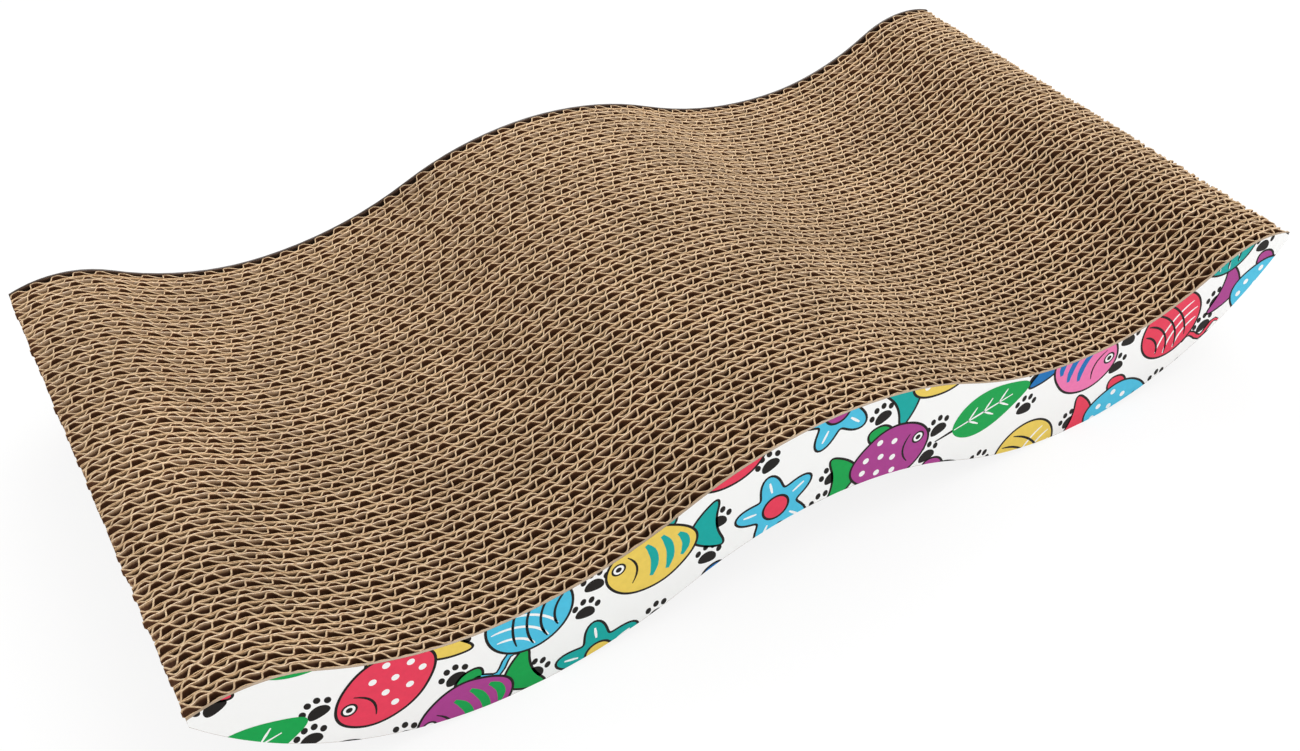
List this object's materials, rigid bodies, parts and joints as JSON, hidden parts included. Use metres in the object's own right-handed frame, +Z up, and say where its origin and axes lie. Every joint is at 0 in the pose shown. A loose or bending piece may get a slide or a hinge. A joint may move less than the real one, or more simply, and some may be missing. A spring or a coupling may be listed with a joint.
{
  "type": "cardboard cat scratcher",
  "caption": "Wave-shaped cat scratcher: corrugated boards stand on edge, glued face to face between printed panels, with a cradle each side of a middle hump and an arch beneath.",
  "frame": {"origin": "on the floor, under the middle of the block", "axes": "+X along the length, +Y from the front panel to the rear panel, +Z up"},
  "size_m": [0.436, 0.2214, 0.0623],
  "materials": {
    "kraft_board": "matte cut kraft",
    "kraft_medium": "matte kraft",
    "printed_panel": "satin print on white stock"
  },
  "bodies": {
    "root": {"boards_01_03": "kraft_board", "boards_04_06": "kraft_board", "boards_07_09": "kraft_board", "boards_10_12": "kraft_board", "boards_13_15": "kraft_board", "boards_16_18": "kraft_board", "boards_19_21": "kraft_board", "boards_22_24": "kraft_board", "boards_25_27": "kraft_board", "boards_28_30": "kraft_board", "boards_31_33": "kraft_board", "boards_34_36": "kraft_board", "closing_flute_sheet": "kraft_medium", "flute_sheet_01": "kraft_medium", "flute_sheet_07": "kraft_medium", "flute_sheet_13": "kraft_medium", "flute_sheet_19": "kraft_medium", "flute_sheet_25": "kraft_medium", "flute_sheet_31": "kraft_medium", "front_panel": "printed_panel", "rear_panel": "printed_panel"}
  },
  "joints": []
}
